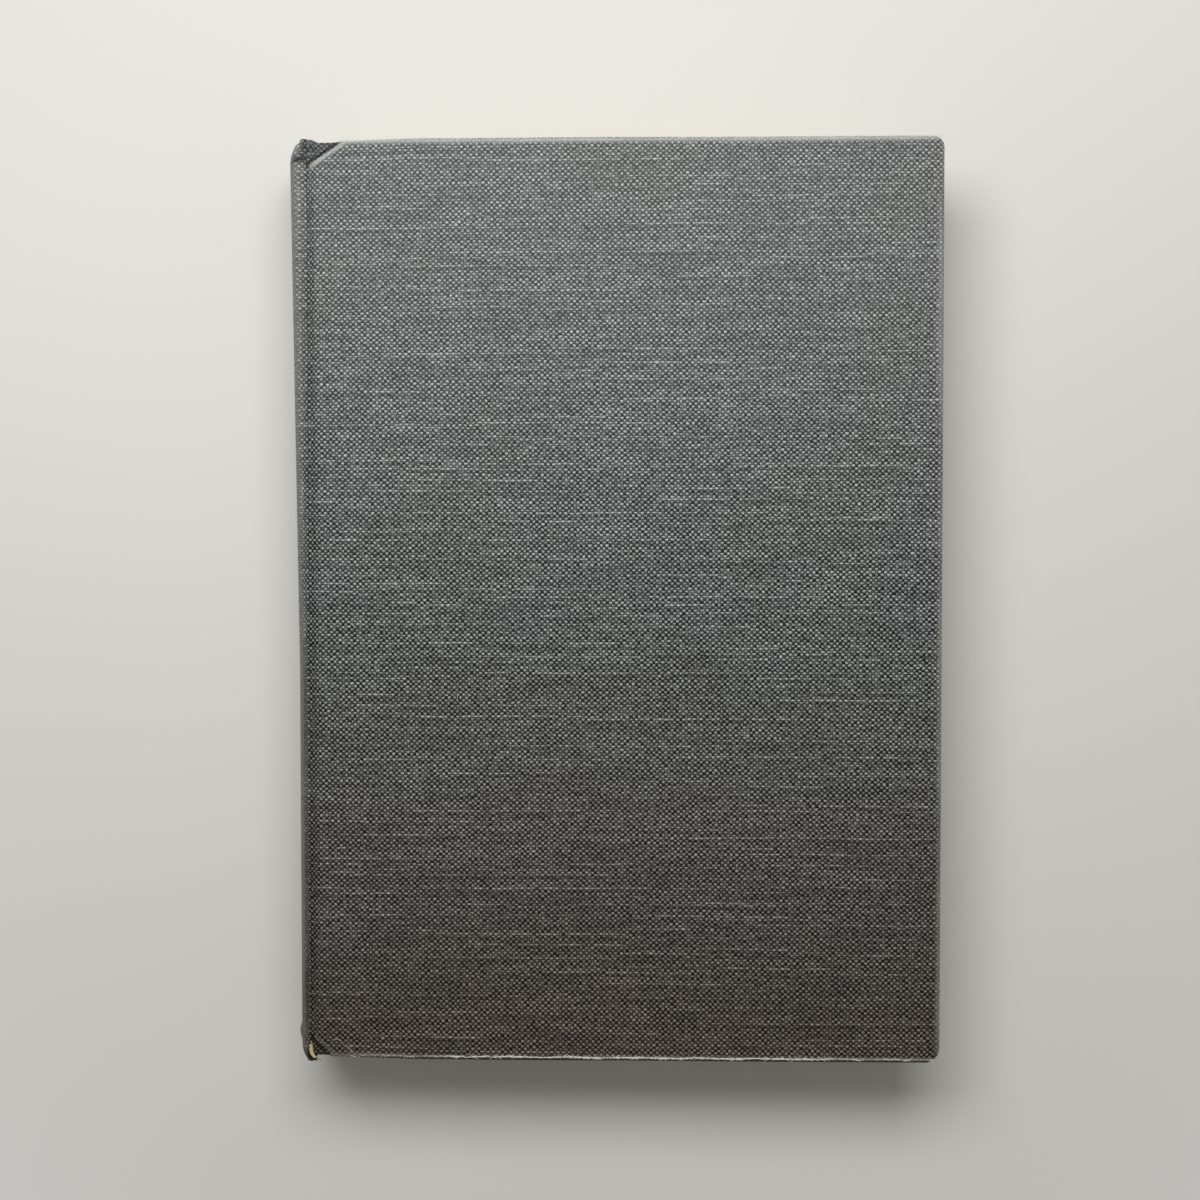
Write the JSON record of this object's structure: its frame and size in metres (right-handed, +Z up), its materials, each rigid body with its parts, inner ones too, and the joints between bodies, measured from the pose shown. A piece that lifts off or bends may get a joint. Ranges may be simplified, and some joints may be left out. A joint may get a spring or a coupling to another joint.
{
  "type": "hardback book",
  "caption": "Closed case-bound book in dark linen cloth with rounded spine, hinged covers, sewn pages and worn corners.",
  "frame": {"origin": "centre of the closed book's footprint, on the table under the back cover", "axes": "+Y to the head of the book, +X to the fore edge, +Z up through the front cover"},
  "size_m": [0.1492, 0.21, 0.028],
  "materials": {
    "book_cloth": "matte",
    "grey_board": "matte",
    "page_paper": "matte",
    "endpaper": "matte",
    "spine_card": "matte",
    "kraft_paper": "matte",
    "mull": "matte",
    "linen_thread": "matte",
    "band_silk": "satin"
  },
  "bodies": {
    "block": {"text_block": "page_paper", "front_flyleaf": "endpaper", "back_flyleaf": "endpaper", "sewing_thread": "linen_thread", "spine_mull": "mull", "spine_lining": "kraft_paper", "head_band": "band_silk", "tail_band": "band_silk", "spine_inlay": "spine_card", "spine_cloth": "book_cloth"},
    "front_cover": {"front_board": "grey_board", "front_cover_cloth": "book_cloth", "front_pastedown": "endpaper", "front_mull_flap": "mull"},
    "back_cover": {"back_board": "grey_board", "back_cover_cloth": "book_cloth", "back_pastedown": "endpaper", "back_mull_flap": "mull"}
  },
  "joints": [
    {"name": "front_hinge", "type": "hinge", "parent": "block", "child": "front_cover", "pos_m": [-0.07105, 0, 0.0259], "axis": [0, -1, 0], "range_deg": [0, 178]},
    {"name": "back_hinge", "type": "hinge", "parent": "block", "child": "back_cover", "pos_m": [-0.07105, 0, 0.0021], "axis": [0, 1, 0], "range_deg": [0, 178]}
  ]
}
